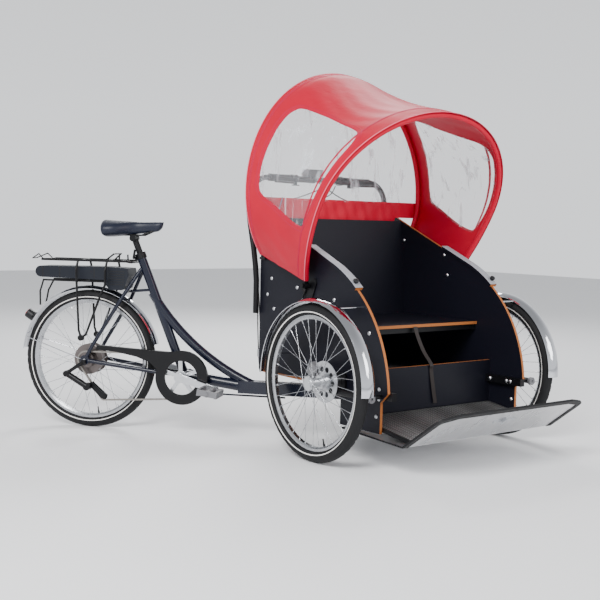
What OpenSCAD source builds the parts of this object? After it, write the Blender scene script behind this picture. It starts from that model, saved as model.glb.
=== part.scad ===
// Three-wheeled passenger cargo bicycle: a bench box between two front wheels,
// steered about a kingpin under its floor, and pushed by an electric rear half.
// Millimetres. +X is the box's forward direction, +Y its left, +Z up.

/* [Steering] */
// Angle of the rear half to the box, 0 is straight ahead
steer_angle = 40.2; // [0:1:46]
// X of the kingpin
head_x = 411; // [380:1:440]
// Y of the kingpin
head_y = 303; // [280:1:330]

/* [Wheels] */
// Outer radius of the front tyres
front_r = 303.5; // [300:0.5:306]
// Outer radius of the rear tyre
rear_r = 300; // [296:0.5:303]
// Width of the front tyres
front_tyre_w = 50; // [44:1:52]
// Width of the rear tyre
rear_tyre_w = 46; // [40:1:48]
// Distance of the front wheels' mid-planes from the middle
track_half = 511; // [505:1:515]
// X of the front axle from the kingpin
axle_x = -45; // [-48:1:-42]
// Spokes in each wheel
spoke_count = 36; // [28:4:36]

/* [Box] */
// Half width of the box over its side panels
box_half = 379; // [375:1:379]
// Thickness of the plywood
ply = 12; // [9:1:12]
// Height of the top of the seat board
seat_z = 506; // [500:1:512]
// X of the front edge of the seat board
seat_front_x = -37; // [-42:1:-30]
// Radius of the side panels' front curve
panel_r = 537; // [535:1:539]

/* [Footplate] */
// Half width of the footplate
plate_half = 405; // [395:1:405]
// Tilt of its raised front
lip_angle = 36.4; // [30:0.2:38]
// Depth of its raised front
lip_depth = 230; // [215:1:231]

/* [Hood] */
// Radius of the hoop tubes
hoop_r = 9; // [8:0.5:9]
// Lean of the front hoop from upright
hoop_lean = 28.3; // [26:0.1:29]
// Half width of the front hoop
hoop_half = 477; // [470:1:480]

/* [Rear half] */
// Length of the cranks
crank_len = 165; // [160:1:170]
// Radius of the chainring
ring_r = 92; // [88:1:92]

/* [Hidden] */

// Facets of round shapes, of small round shapes and of wheels
$fn = 48;
small_fn = 24;
wheel_fn = 96;

// Colours
navy = "#1b2030";
ply_black = "#14141a";
steel_black = "#1a1a1c";
rubber = "#1c1c1e";
chrome = "#c9ccd2";
red = "#d6083a";
clear = "#e8eef2";
silver = "#a9acb0";

// Box
box_in = box_half - ply;
rear_x = -600;
box_floor_z = 279;
panel_c = [-310, 250];
panel_a0 = 4;
panel_a1 = 65.8;
low_z = 132;
low_x0 = -44;
low_x1 = 187;
kick_x = 34;
kick_top = 349;
back_top = [-530, 930];
back_low_x = -490;
floor_slope = -41 / 297;
floor_t = 15;
floor_x1 = 340;
bend_x = 343;
bend_z = 117;
sheet_t = 3;
sheet_x0 = 0;
sheet_z0 = 131.5;
corner_in = 105;
lip_round = 45;
trim_w = 22;
trim_t = 8;

// Steering
pin_r = 12;
run_gap = 0.05;
bush_r = 16;
head_r = 22;
beam_z0 = 188;
beam_z1 = 240;
beam_w = 50;
cross_z0 = 245;
cross_z1 = 267;

// Front wheels
stub_r = 10;
flange_off = 28;
flange_r = 29;
hub_end = 547;
rotor_y = 461;
rotor_r = 80;
fender_r = 324;
fender_half = 31;
tube_y = 444;
tube_z = 273;

// Handlebar
bar_x = -680;
bar_z = 1107;
bar_r = 12.5;
bar_half = 391;
bar_bend = 100;
leg_x = -613;

// Hood
pivot = [-250, 660];
front_low_b = 640;
front_top_b = 422;
front_c = 350;
rear_x_hoop = -545;
rear_half = 483;
rear_c = 1040;
rear_top_b = 516;
rear_low_b = 445;
front_foot_a = 33.2;
cover_foot_a = 30.2;
rear_foot_a = 35.9;
foot_back = 21;
cover_gap = 10.6;
cover_t = 2.4;
cover_u = 12;
cover_v = 56;
win_v0 = 10;
win_v1 = 22;
win_u0 = 2;
win_u1 = 10;

// Rear half, in its own plane: x forward, z up
axle_b = [-1436, 300];
bb = [-1004, 248];
seat_top = [-1210, 757];
chain_y = -50;
cassette_r = 34;
chain_w = 8;
chain_t = 4;
rest_crank = -15;
motor_r = 66;

function rot2(p, a) = [p[0] * cos(a) - p[1] * sin(a), p[0] * sin(a) + p[1] * cos(a)];
function arc(c, r, a0, a1, n) = [
  for (i = [0 : n]) let (a = a0 + (a1 - a0) * i / n) [c[0] + r * cos(a), c[1] + r * sin(a)]
];
function unit(v) = v / norm(v);
function mix(a, b, t) = a + (b - a) * t;

// Points of a smooth line through p, k steps to each gap
function smooth(p, k) = [
  for (i = [0 : len(p) - 2], j = [0 : k - 1])
    let (a = p[max(i - 1, 0)], b = p[i], c = p[i + 1], d = p[min(i + 2, len(p) - 1)], t = j / k)
    0.5 * (2 * b + (c - a) * t + (2 * a - 5 * b + 4 * c - d) * t * t + (3 * b - a - 3 * c + d) * t * t * t),
  p[len(p) - 1]
];

function tangent(p, i) = unit(p[min(i + 1, len(p) - 1)] - p[max(i - 1, 0)]);

// Tube of radius r along the points p, with n sides; side is never along the tube
module sweep(p, r, n = 10, side = [0, 1, 0]) {
  m = len(p);
  pts = [
    for (i = [0 : m - 1])
      let (t = tangent(p, i), e = unit(cross(t, side)), f = cross(t, e))
      for (k = [0 : n - 1]) p[i] + r * (e * cos(360 * k / n) + f * sin(360 * k / n))
  ];
  sides = [
    for (i = [0 : m - 2], k = [0 : n - 1])
      let (a = i * n + k, b = i * n + (k + 1) % n)
      each [[a, b + n, b], [a, a + n, b + n]]
  ];
  polyhedron(pts, concat(sides, [[for (k = [0 : n - 1]) k]], [[for (k = [n - 1 : -1 : 0]) (m - 1) * n + k]]), 10);
}

// Flat strip along the points p, lying across the Y axis
module ribbon(p, w, t) {
  m = len(p);
  pts = [
    for (i = [0 : m - 1])
      let (n = unit(cross(tangent(p, i), [0, 1, 0])))
      for (c = [[-1, -1], [1, -1], [1, 1], [-1, 1]]) p[i] + [0, c[0] * w / 2, 0] + n * (c[1] * t / 2)
  ];
  sides = [for (i = [0 : m - 2], k = [0 : 3]) let (a = i * 4 + k, b = i * 4 + (k + 1) % 4) [a, a + 4, b + 4, b]];
  polyhedron(pts, concat(sides, [[0, 1, 2, 3]], [[for (k = [3 : -1 : 0]) (m - 1) * 4 + k]]), 10);
}

module rod(a, b, r) {
  d = b - a;
  translate(a) rotate([0, atan2(norm([d[0], d[1]]), d[2]), atan2(d[1], d[0])]) cylinder(h = norm(d), r = r);
}

module chain_of_rods(p, r) {
  for (i = [0 : len(p) - 2]) rod(p[i], p[i + 1], r);
  for (i = [1 : 1 : len(p) - 2]) translate(p[i]) sphere(r + 0.2);
}

module both() {
  children();
  mirror([0, 1, 0]) children();
}

// Outline in X and Z, extruded along Y from y0 to y1
module slab(y0, y1) {
  translate([0, y1, 0]) rotate([90, 0, 0]) linear_extrude(y1 - y0) children();
}

module y_cyl(x, z, y0, y1, r) {
  translate([x, y1, z]) rotate([90, 0, 0]) cylinder(h = y1 - y0, r = r);
}

module block(p0, p1) {
  translate(p0) cube(p1 - p0);
}

// Frames of the two halves
module front_half() {
  translate([head_x, head_y, 0]) children();
}

module rear_half() {
  translate([head_x, head_y, 0]) rotate([0, 0, steer_angle]) children();
}

// ---- Front frame and steering ----

module front_frame() {
  color(steel_black) front_half() {
    block([-90, -393, cross_z0], [-50, 393, cross_z1]);
    both() {
      block([-560, 90, cross_z1 - 14], [30, 120, cross_z1]);
      block([-90, 385, cross_z0], [-5, 393, 335]);
      rod([-36, tube_y, tube_z], [200, tube_y, tube_z], 12);
      y_cyl(190, tube_z, box_half, tube_y, 8);
      y_cyl(-28, tube_z, 390, tube_y, 6);
    }
    block([-560, -120, cross_z1 - 14], [-530, 120, cross_z1]);
  }
}

module steering_yoke() {
  color(steel_black) front_half() difference() {
    union() {
      block([-40, -124, 243], [30, 124, cross_z1 - 14]);
      block([-24, -112, 158], [30, 112, 168]);
      both() block([-12, 100, 160], [30, 112, 250]);
    }
    translate([0, 0, 150]) cylinder(h = 120, r = pin_r);
    block([-91, -130, cross_z0], [-49, 130, 270]);
  }
}

module kingpin() {
  color(silver) front_half() {
    translate([0, 0, 152]) cylinder(h = 101, r = pin_r);
    translate([0, 0, 146]) cylinder(h = 12, r = 18, $fn = 6);
  }
}

module head_bushes() {
  color("#b08d4a") rear_half() for (z = [172, 223]) difference() {
    translate([0, 0, z]) cylinder(h = 18, r = bush_r);
    translate([0, 0, z - 1]) cylinder(h = 20, r = pin_r + run_gap);
  }
}

module front_axles() {
  color(silver) front_half() both() {
    y_cyl(axle_x, front_r, 393, hub_end - 3, stub_r);
    y_cyl(axle_x, front_r, 393, 448, 16);
  }
}

// ---- Box ----

function panel_outline() = concat(
  [[rear_x, box_floor_z], [rear_x, 961]],
  arc(panel_c, panel_r, panel_a1, panel_a0, 22),
  [[low_x1, 250], [low_x1, low_z], [low_x0, low_z], [low_x0, box_floor_z]]
);

module side_panel(side) {
  color(ply_black) front_half()
    slab(side > 0 ? box_in : -box_half, side > 0 ? box_half : -box_in) polygon(panel_outline());
}

module back_panel() {
  color(ply_black) front_half() {
    slab(-box_in, box_in) polygon([
      [back_low_x, seat_z - ply], [back_low_x, seat_z], back_top,
      [back_top[0] - ply, back_top[1]], [back_low_x - ply, seat_z], [back_low_x - ply, seat_z - ply]
    ]);
    block([rear_x, -box_in, cross_z1], [rear_x + ply, box_in, seat_z]);
  }
}

module seat_board() {
  color("#241a22") front_half()
    block([back_low_x, -box_in, seat_z - ply], [seat_front_x, box_in, seat_z]);
}

module kick_panel() {
  color(ply_black) front_half() block([kick_x, -box_in, 175], [kick_x + ply, box_in, kick_top]);
}

module storage_floor() {
  color(ply_black) front_half() block([rear_x + ply, -box_in, cross_z1], [kick_x, box_in, box_floor_z]);
}

function floor_z(x) = 173 + (x - kick_x - ply) * floor_slope;

module foot_floor() {
  color("#8a4a22") front_half() slab(-box_in, box_in) polygon([
    [kick_x, floor_z(kick_x)], [floor_x1, floor_z(floor_x1)],
    [floor_x1, floor_z(floor_x1) - floor_t], [kick_x, floor_z(kick_x) - floor_t]
  ]);
}

module tread_plate() {
  tread_x0 = kick_x + ply + 6;
  tread_t = 2;
  tread_gap = 0.05;
  rib = 1.2;
  color(silver) front_half() {
    slab(-box_in + 6, box_in - 6) polygon([
      [tread_x0, floor_z(tread_x0) + tread_gap], [floor_x1, floor_z(floor_x1) + tread_gap],
      [floor_x1, floor_z(floor_x1) + tread_t], [tread_x0, floor_z(tread_x0) + tread_t]
    ]);
    for (y = [-340 : 20 : 340]) slab(y - 2, y + 2) polygon([
      [tread_x0 + 8, floor_z(tread_x0 + 8) + tread_t], [floor_x1 - 8, floor_z(floor_x1 - 8) + tread_t],
      [floor_x1 - 8, floor_z(floor_x1 - 8) + tread_t + rib], [tread_x0 + 8, floor_z(tread_x0 + 8) + tread_t + rib]
    ]);
  }
}

// ---- Footplate: a bent sheet under the floor, its front raised ----

function lip_outline(d) = concat(
  [[0, -plate_half + d]],
  arc([lip_depth - lip_round - 16, -plate_half + 10 + lip_round], lip_round - d, -82, -30, 6),
  [[lip_depth - d, -plate_half + corner_in], [lip_depth - d, plate_half - corner_in]],
  arc([lip_depth - lip_round - 16, plate_half - 10 - lip_round], lip_round - d, 30, 82, 6),
  [[0, plate_half - d]]
);

module in_lip() {
  translate([bend_x, 0, bend_z]) rotate([0, -lip_angle, 0]) children();
}

sheet_tilt = atan2(sheet_z0 - bend_z, bend_x - sheet_x0);
sheet_len = norm([bend_x - sheet_x0, sheet_z0 - bend_z]);
bend_lap = 2;

module in_flat() {
  translate([sheet_x0, 0, sheet_z0]) rotate([0, sheet_tilt, 0]) children();
}

module footplate() {
  color(silver) front_half() {
    in_flat() translate([0, -plate_half, -sheet_t]) cube([sheet_len + bend_lap, 2 * plate_half, sheet_t]);
    in_lip() translate([0, 0, -sheet_t]) linear_extrude(sheet_t) polygon(lip_outline(0));
  }
}

module footplate_trim() {
  over = 3;
  mid = -sheet_t / 2 - trim_t / 2;
  color(rubber) front_half() difference() {
    union() {
      in_lip() translate([0, 0, mid]) linear_extrude(trim_t) difference() {
        polygon(lip_outline(-over));
        polygon(concat([[-50, -plate_half + trim_w]], lip_outline(trim_w), [[-50, plate_half - trim_w]]));
      }
      both() in_flat() translate([0, plate_half - trim_w, -sheet_t - 2.5]) cube([sheet_len, trim_w + over, sheet_t + 2.5]);
    }
    in_flat() translate([-1, -plate_half, -sheet_t]) cube([sheet_len + 1 + bend_lap, 2 * plate_half, sheet_t]);
    in_lip() translate([0, 0, -sheet_t]) linear_extrude(sheet_t) polygon(lip_outline(0));
    block([-10, -500, low_z - 0.2], [300, 500, 300]);
  }
}

module catches() {
  color(steel_black) front_half() {
    in_lip() {
      translate([120, -14, -sheet_t - 12]) cube([40, 28, 12]);
      for (s = [-1, 1]) translate([128, s * 34 - 24, -sheet_t - 8]) cube([12, 48, 8]);
    }
    block([rear_x - 14, -box_half, 330], [rear_x, -box_half + 26, 362]);
    block([rear_x - 14, box_half - 26, 330], [rear_x, box_half, 362]);
  }
}

module inner_rails() {
  color(steel_black) front_half() {
    both() {
      block([kick_x + ply, box_in - 24, 260], [236, box_in, 290]);
      block([back_low_x + 20, box_in - 24, seat_z - ply - 24], [seat_front_x - 6, box_in, seat_z - ply]);
    }
    block([seat_front_x - 26, -box_in + 24, seat_z - ply - 22], [seat_front_x - 10, box_in - 24, seat_z - ply]);
  }
}

// Round bolt heads on the outside of both side panels, and inside
outer_bolts = [
  [-517, 674], [-545, 605], [-497, 547], [-338, 646], [-98, 612],
  [114, 502], [178, 299], [177, 262], [165, 195]
];
inner_bolts = [[-507, 842], [-246, 782], [-223, 694], [168, 198]];
rail_bolts = [[70, 275], [160, 275], [181, 275]];

module bolt_head(x, z, y, s) {
  translate([x, y, z]) rotate([-90 * s, 0, 0]) intersection() {
    cylinder(h = 5, r = 8, $fn = small_fn);
    translate([0, 0, -5]) sphere(10, $fn = small_fn);
  }
}

module panel_bolts() {
  color(silver) front_half() both() {
    for (b = outer_bolts) bolt_head(b[0], b[1], box_half, 1);
    for (b = inner_bolts) bolt_head(b[0], b[1], box_in, -1);
    for (b = rail_bolts) bolt_head(b[0], b[1], box_in - 24, -1);
  }
}

arm_t = 12;
arm_w = 36;
arm_a = 49.6;
arm_x0 = -250;
arm_slope = (961 - 740) / (-90 - rear_x);
arm_gap = 0.3;

function arm_outline() = concat(
  [[arm_x0, 740 + arm_slope * (-90 - arm_x0) + arm_t]],
  arc(panel_c, panel_r + arm_t, panel_a1, arm_a, 8),
  arc(panel_c, panel_r + arm_gap, arm_a, panel_a1, 8),
  [[arm_x0, 740 + arm_slope * (-90 - arm_x0) + arm_gap]]
);

module armrests() {
  color("#9a5a2c") front_half() both() slab(392 - arm_w, 392) polygon(arm_outline());
}

module seat_strap() {
  color(rubber) front_half() ribbon(smooth([
    [seat_front_x + 3, 0, 497], [seat_front_x + 14, 3, 462], [10, 9, 400], [kick_x + ply + 4, 15, 352],
    [kick_x + ply + 3, 16, 329], [kick_x + ply + 6, 26, 262], [kick_x + ply + 8, 39, 193]
  ], 3), 20, 2);
}

// ---- Front wheels ----

// Tyre about the Z axis: a round section, flat where the rim takes it
module tyre_ring(r, w) {
  cr = w / 2;
  flat_a = 141;
  rotate_extrude($fn = wheel_fn) polygon(arc([r - cr, 0], cr, -flat_a, flat_a, 28));
}

function rim_top(r, w) = r - w / 2 + w / 2 * cos(141) - 0.2;

// Rim and its laced spokes
spoke_off = 3.7;

module laced_rim(r, w, fr, f_right, f_left) {
  top = rim_top(r, w);
  rotate_extrude($fn = wheel_fn) polygon([
    [top - 16, -8], [top - 16, 8], [top - 9, 13], [top, 13], [top, 10], [top - 6, 9],
    [top - 6, -9], [top, -10], [top, -13], [top - 9, -13]
  ]);
  for (i = [0 : spoke_count - 1]) {
    s = i % 2 == 0 ? 1 : -1;
    turn = i % 4 < 2 ? 1 : -1;
    a = 360 * i / spoke_count;
    y = (s > 0 ? f_left : -f_right) + s * turn * spoke_off;
    h = a + turn * (fr > 40 ? 32 : 68);
    rod([(fr - 3) * cos(h), (fr - 3) * sin(h), y], [(top - 16.5) * cos(a), (top - 16.5) * sin(a), s * 2], 1);
  }
}

module front_hub() {
  in = rotor_y - 8 - track_half;
  out = hub_end - track_half;
  difference() {
    union() {
      translate([0, 0, in]) cylinder(h = out - in - 4, r = 17);
      translate([0, 0, in]) cylinder(h = 22, r = 22);
      translate([0, 0, out - 16]) cylinder(h = 12, r = 20);
      for (s = [-1, 1]) translate([0, 0, s * flange_off - 1.5]) cylinder(h = 3, r = flange_r);
      translate([0, 0, rotor_y - track_half - 1]) difference() {
        cylinder(h = 2, r = rotor_r, $fn = wheel_fn);
        for (k = [0 : 9]) rotate([0, 0, 36 * k]) translate([50, 0, -1]) cylinder(h = 4, r = 11, $fn = small_fn);
      }
    }
    translate([0, 0, -80]) cylinder(h = 160, r = stub_r + run_gap);
    translate([0, 0, in - 1]) cylinder(h = 5, r = 17);
  }
}

// Places a wheel made about Z: +Z of the wheel points outwards
module at_front_wheel(side) {
  front_half() translate([axle_x, side * track_half, front_r]) rotate([-90 * side, 0, 0]) children();
}

module fender_profile(r) {
  polygon(concat(
    [for (i = [-8 : 8]) let (a = i / 8) [r - 12 * a * a, fender_half * a]],
    [for (i = [8 : -1 : -8]) let (a = i / 8) [r - 2 - 12 * a * a, (fender_half - 1.5) * a]]
  ));
}

module front_fenders() {
  color(chrome) front_half() both() {
    translate([axle_x, track_half, front_r]) rotate([90, 0, 0]) rotate([0, 0, -2])
      rotate_extrude(angle = 181, $fn = wheel_fn) fender_profile(fender_r);
    for (a = [70, 118, 166]) {
      x = axle_x + (fender_r - 14) * cos(a);
      z = front_r + (fender_r - 14) * sin(a);
      y_cyl(x, z, box_half, track_half - fender_half + 4, 4);
    }
  }
}

module tube_plugs() {
  color("#b9b9bd") front_half() both() difference() {
    rod([200, tube_y, tube_z], [214, tube_y, tube_z], 16);
    rod([208, tube_y, tube_z], [215, tube_y, tube_z], 5);
  }
}

module front_calipers() {
  color(steel_black) front_half() both()
    translate([axle_x, 0, front_r]) rotate([0, -150, 0]) difference() {
      union() {
        block([52, 447, -24], [98, 473, 24]);
        block([86, 394, -18], [98, 447, 18]);
      }
      block([40, rotor_y - 2, -30], [rotor_r + 2, rotor_y + 2, 30]);
    }
}

// ---- Handlebar and its controls ----

bar_path = concat(
  [for (a = [0 : 9 : 90]) [bar_x, bar_half - bar_bend + bar_bend * sin(a), bar_z - bar_bend + bar_bend * cos(a)]],
  [
    [bar_x + 2, bar_half, 960], [bar_x + 14, bar_half, 900], [bar_x + 42, bar_half, 800],
    [leg_x - 8, bar_half, 720], [leg_x, bar_half, 660], [leg_x, bar_half, 520]
  ]
);

module handlebar() {
  left = [for (p = bar_path) p];
  right = [for (i = [len(bar_path) - 1 : -1 : 0]) [bar_path[i][0], -bar_path[i][1], bar_path[i][2]]];
  color(steel_black) front_half() sweep(concat(right, left), bar_r, 14, [1, 0, 0]);
}

grip_y0 = 172;
grip_y1 = 288;

module grips() {
  color(rubber) front_half() both() difference() {
    y_cyl(bar_x, bar_z, grip_y0, grip_y1, 16);
    y_cyl(bar_x, bar_z, grip_y0 - 1, grip_y1 + 1, bar_r + 0.1);
  }
}

module clamp_ring(y0, y1, r) {
  difference() {
    y_cyl(bar_x, bar_z, y0, y1, r);
    y_cyl(bar_x, bar_z, y0 - 1, y1 + 1, bar_r + 0.1);
  }
}

lever_y = 150;
lever_x = bar_x + 30;
lever_z = bar_z - 21;
pin_y = lever_y + 14;
fork_gap = 7;
fork_t = 4;
cylinder_x = bar_x + 26;

module bar_controls() {
  color(steel_black) front_half() {
    both() {
      clamp_ring(lever_y - 14, lever_y + 14, 18);
      block([bar_x + 8, lever_y - 14, lever_z + fork_gap], [lever_x + 8, pin_y + 7, lever_z + fork_gap + fork_t]);
      block([bar_x + 12, lever_y - 2, lever_z - fork_gap - fork_t], [lever_x + 8, pin_y + 7, lever_z - fork_gap]);
      block([bar_x + 12, lever_y - 2, lever_z - fork_gap - 2], [bar_x + 20, pin_y - 2, lever_z + fork_gap + 2]);
      translate([lever_x, pin_y, lever_z - fork_gap - 2]) cylinder(h = 2 * fork_gap + 4, r = 3);
      y_cyl(cylinder_x, lever_z + 12, 60, lever_y - 2, 8);
    }
    clamp_ring(100, 122, 21);
  }
}

module display() {
  color(steel_black) front_half() difference() {
    union() {
      block([bar_x - 22, -92, bar_z + 14], [bar_x + 30, -8, bar_z + 44]);
      y_cyl(bar_x, bar_z, -62, -38, 17);
    }
    y_cyl(bar_x, bar_z, -95, -5, bar_r + 0.1);
  }
}

// A lever blade turning on the small upright pin beside its clamp
module lever(side) {
  blade_x = lever_x + 14;
  color(steel_black) front_half() mirror([0, side < 0 ? 1 : 0, 0]) difference() {
    union() {
      translate([lever_x, pin_y, lever_z - 6]) cylinder(h = 12, r = 7);
      chain_of_rods([[lever_x, pin_y, lever_z], [blade_x, pin_y + 30, lever_z], [blade_x, 286, lever_z + 2]], 4.6);
    }
    translate([lever_x, pin_y, lever_z - 8]) cylinder(h = 16, r = 3 + run_gap);
  }
}

right_hose = [
  [-654, -60, 1098], [-654, -40, 1097], [-662, 20, 1070], [-680, 120, 1030], [-694, 240, 1000], [-700, 340, 970],
  [-690, 368, 900], [-672, 372, 820], [-650, 372, 740], [-634, 370, 620], [-630, 368, 480],
  [-622, 365, 330], [-615, 360, 262]
];
left_hose = [
  [-654, 60, 1098], [-654, 40, 1096], [-650, -30, 1062], [-668, -140, 1022], [-690, -250, 996], [-700, -340, 966],
  [-690, -368, 900], [-672, -372, 820], [-650, -372, 740], [-634, -370, 620], [-630, -368, 480],
  [-622, -365, 330], [-615, -360, 262]
];
shift_cable = [
  [-694, 100, 1085], [-712, 92, 1050], [-724, 60, 1030], [-734, 0, 1018], [-732, -80, 1000], [-722, -200, 968],
  [-712, -300, 940], [-700, -352, 890], [-684, -357, 820], [-664, -358, 740], [-646, -356, 620], [-638, -350, 480],
  [-630, -344, 330], [-620, -340, 262]
];

module control_cables() {
  color(rubber) front_half() {
    sweep(smooth(right_hose, 3), 2.6, 8, [1, 0, 0.3]);
    sweep(smooth(left_hose, 3), 2.6, 8, [1, 0, 0.3]);
    sweep(smooth(shift_cable, 3), 2.4, 8, [1, 0, 0.3]);
  }
}

// ---- Hood ----

function front_hoop_at(a, off) = let (
  b = sin(a) < 0 ? front_low_b : front_top_b,
  s = front_c + (b + off) * sin(a)
) [pivot[0] + s * sin(hoop_lean), -(hoop_half + off) * cos(a), pivot[1] + s * cos(hoop_lean)];

function rear_hoop_at(a, off) = let (b = sin(a) < 0 ? rear_low_b : rear_top_b)
  [
    rear_x_hoop - (sin(a) < 0 ? foot_back * pow(sin(a) / sin(rear_foot_a), 2) : 0),
    -(rear_half + off) * cos(a), rear_c + (b + off) * sin(a)
  ];

function rear_angle(t) = -rear_foot_a + t * (180 + 2 * rear_foot_a);

hoop_steps = 44;

module front_hoop() {
  eye_y0 = 394;
  eye_y1 = 416;
  eye_r = 15;
  foot = front_foot_a - 2.4;
  color(steel_black) front_half() {
    sweep([for (i = [0 : hoop_steps]) front_hoop_at(-foot + (180 + 2 * foot) * i / hoop_steps, 0)],
      hoop_r, 10, [-cos(hoop_lean), 0, sin(hoop_lean)]);
    both() difference() {
      y_cyl(pivot[0], pivot[1], eye_y0, eye_y1, eye_r);
      y_cyl(pivot[0], pivot[1], eye_y0 - 1, eye_y1 + 1, 6 + run_gap);
    }
  }
}

module rear_hoop() {
  color(steel_black) front_half()
    sweep([for (i = [0 : hoop_steps]) rear_hoop_at(rear_angle(i / hoop_steps), 0)], hoop_r, 10, [-1, 0, 0]);
}

module hood_brackets() {
  color(steel_black) front_half() both() {
    y_cyl(pivot[0], pivot[1], box_half + 6, 422, 6);
    y_cyl(pivot[0], pivot[1], 419, 425, 10);
    slab(box_half, box_half + 6) polygon([[-300, 640], [-290, 672], [-215, 690], [-205, 672], [-236, 600], [-258, 600]]);
    rod([-262, box_half + 9, 652], [-300, box_half + 9, 590], 4);
    block([-590, box_half, 752], [-552, box_half + 1.5, 790]);
    block([-590, box_half + 1.5, 752], [-552, box_half + 14, 762]);
  }
}

// A point of the cover: u runs from the front hoop to the rear one, v from foot to foot
function cover_at(u, v, off) = let (
  w = min(max((u - 1 / 12) * 1.2, 0), 1),
  sag = -22 * 4 * w * (1 - w) * pow(sin(180 * v), 0.6),
  f = front_hoop_at(-cover_foot_a + v * (180 + 2 * cover_foot_a), off + sag),
  r = rear_hoop_at(rear_angle(v), off + sag)
) mix(f, r, u) + [u < 0.001 ? 12 : (u > 0.999 ? -12 : 0), 0, 0];

function is_window(i, j) = i >= win_u0 && i < win_u1
  && ((j >= win_v0 && j < win_v1) || (j >= cover_v - win_v1 && j < cover_v - win_v0));

// Closed sheet made of the cells of the cover that are windows, or that are not
module sheet_cells(window, t0, t1) {
  nu = cover_u + 1;
  nv = cover_v + 1;
  count = nu * nv;
  pts = [for (o = [t0, t1], i = [0 : cover_u], j = [0 : cover_v]) cover_at(i / cover_u, j / cover_v, o)];
  function used(i, j) = i >= 0 && i < cover_u && j >= 0 && j < cover_v && is_window(i, j) == window;
  function at(i, j) = i * nv + j;
  cells = [for (i = [0 : cover_u - 1], j = [0 : cover_v - 1]) if (used(i, j)) [i, j]];
  faces = [
    for (c = cells) let (i = c[0], j = c[1])
      each concat(
        [[at(i, j), at(i, j + 1), at(i + 1, j + 1), at(i + 1, j)]],
        [[count + at(i, j), count + at(i + 1, j), count + at(i + 1, j + 1), count + at(i, j + 1)]],
        used(i - 1, j) ? [] : [[at(i, j), count + at(i, j), count + at(i, j + 1), at(i, j + 1)]],
        used(i + 1, j) ? [] : [[at(i + 1, j), at(i + 1, j + 1), count + at(i + 1, j + 1), count + at(i + 1, j)]],
        used(i, j - 1) ? [] : [[at(i, j), at(i + 1, j), count + at(i + 1, j), count + at(i, j)]],
        used(i, j + 1) ? [] : [[at(i, j + 1), count + at(i, j + 1), count + at(i + 1, j + 1), at(i + 1, j + 1)]]
      )
  ];
  polyhedron(pts, faces, 10);
}

back_win_z = 1016;
wall_low_z = 945;

module back_wall(z0, z1, off) {
  a0 = asin((z0 - rear_c) / (z0 < rear_c ? rear_low_b : rear_top_b));
  top = z1 > rear_c + rear_top_b;
  a1 = top ? 90 : asin((z1 - rear_c) / (z1 < rear_c ? rear_low_b : rear_top_b));
  right = [for (i = [0 : 16]) let (p = rear_hoop_at(a0 + (a1 - a0) * i / 16, off)) [p[1], p[2]]];
  left = [for (i = [16 : -1 : 0]) [-right[i][0], right[i][1]]];
  translate([rear_x_hoop - 13, 0, 0]) rotate([90, 0, 90]) linear_extrude(2) polygon(concat(right, left));
}

module hood_cover() {
  color(red) front_half() {
    sheet_cells(false, cover_gap, cover_gap + cover_t);
    back_wall(wall_low_z, back_win_z, 8);
  }
}

module hood_windows() {
  color(clear) front_half() {
    sheet_cells(true, cover_gap + 0.6, cover_gap + 1.6);
    back_wall(back_win_z, 3000, 8);
  }
}

// ---- Rear half ----

function flat3(p, y = 0) = [p[0], y, p[1]];

arc_tube_c = [-338.5, 1127];
arc_tube_r = 973.6;
tube_r = 19.5;
seat_dir = unit(seat_top - bb);
post_r = 13.6;

module bike_frame() {
  color(navy) rear_half() difference() {
    union() {
      translate([0, 0, 172]) cylinder(h = 69, r = head_r);
      block([-760, -beam_w / 2, beam_z0], [-14, beam_w / 2, beam_z1]);
      rod([-740, 0, 216], flat3(bb), 24);
      rod(flat3(bb), flat3(seat_top), tube_r);
      translate([arc_tube_c[0], 0, arc_tube_c[1]]) rotate([90, 0, 0]) rotate([0, 0, 213])
        rotate_extrude(angle = 35, $fn = 120) translate([arc_tube_r, 0]) circle(tube_r, $fn = 40);
      y_cyl(bb[0], bb[1], -34, 34, 22);
      both() {
        chain_of_rods([flat3(bb + [-14, 6], 24), [-1120, 40, 262], flat3(axle_b + [17, -2], 66)], 9);
        chain_of_rods([[-1200, 14, 700], [-1276, 60, 566], [-1400, 66, 366], flat3(axle_b + [8, 15], 66)], 8);
        y_cyl(axle_b[0], axle_b[1], 62, 70, 21);
      }
      y_cyl(-1257, 600, -48, 48, 7);
      rod([-1257, 0, 600], [-1155, 0, 610], 6);
      rod([-860, 0, 176], [-560, 0, 176], 4);
      for (x = [-840, -600]) rod([x, 0, 176], [x, 0, 190], 6);
    }
    translate([0, 0, 170]) cylinder(h = 75, r = bush_r);
    y_cyl(bb[0], bb[1], -36, 36, 10 + run_gap);
    rod(flat3(seat_top - seat_dir * 300), flat3(seat_top + seat_dir * 9), post_r + run_gap);
    both() y_cyl(axle_b[0], axle_b[1], 60, 72, 6);
  }
}

module seat_post() {
  top = seat_top + seat_dir * 78;
  color(steel_black) rear_half() {
    rod(flat3(seat_top - seat_dir * 180), flat3(top), post_r);
    y_cyl(top[0], top[1], -24, 24, 14);
    both() {
      chain_of_rods([[-1352, 38, 862], [-1300, 24, 842], [-1200, 24, 842], [-1150, 12, 862]], 3.5);
      rod([-1345, 48, 838], [-1345, 48, 866], 13);
      rod([-1345, 48, 850], [-1345, 38, 850], 6);
      rod([-1345, 38, 850], [-1318, 28, 846], 5);
    }
  }
}

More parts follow.
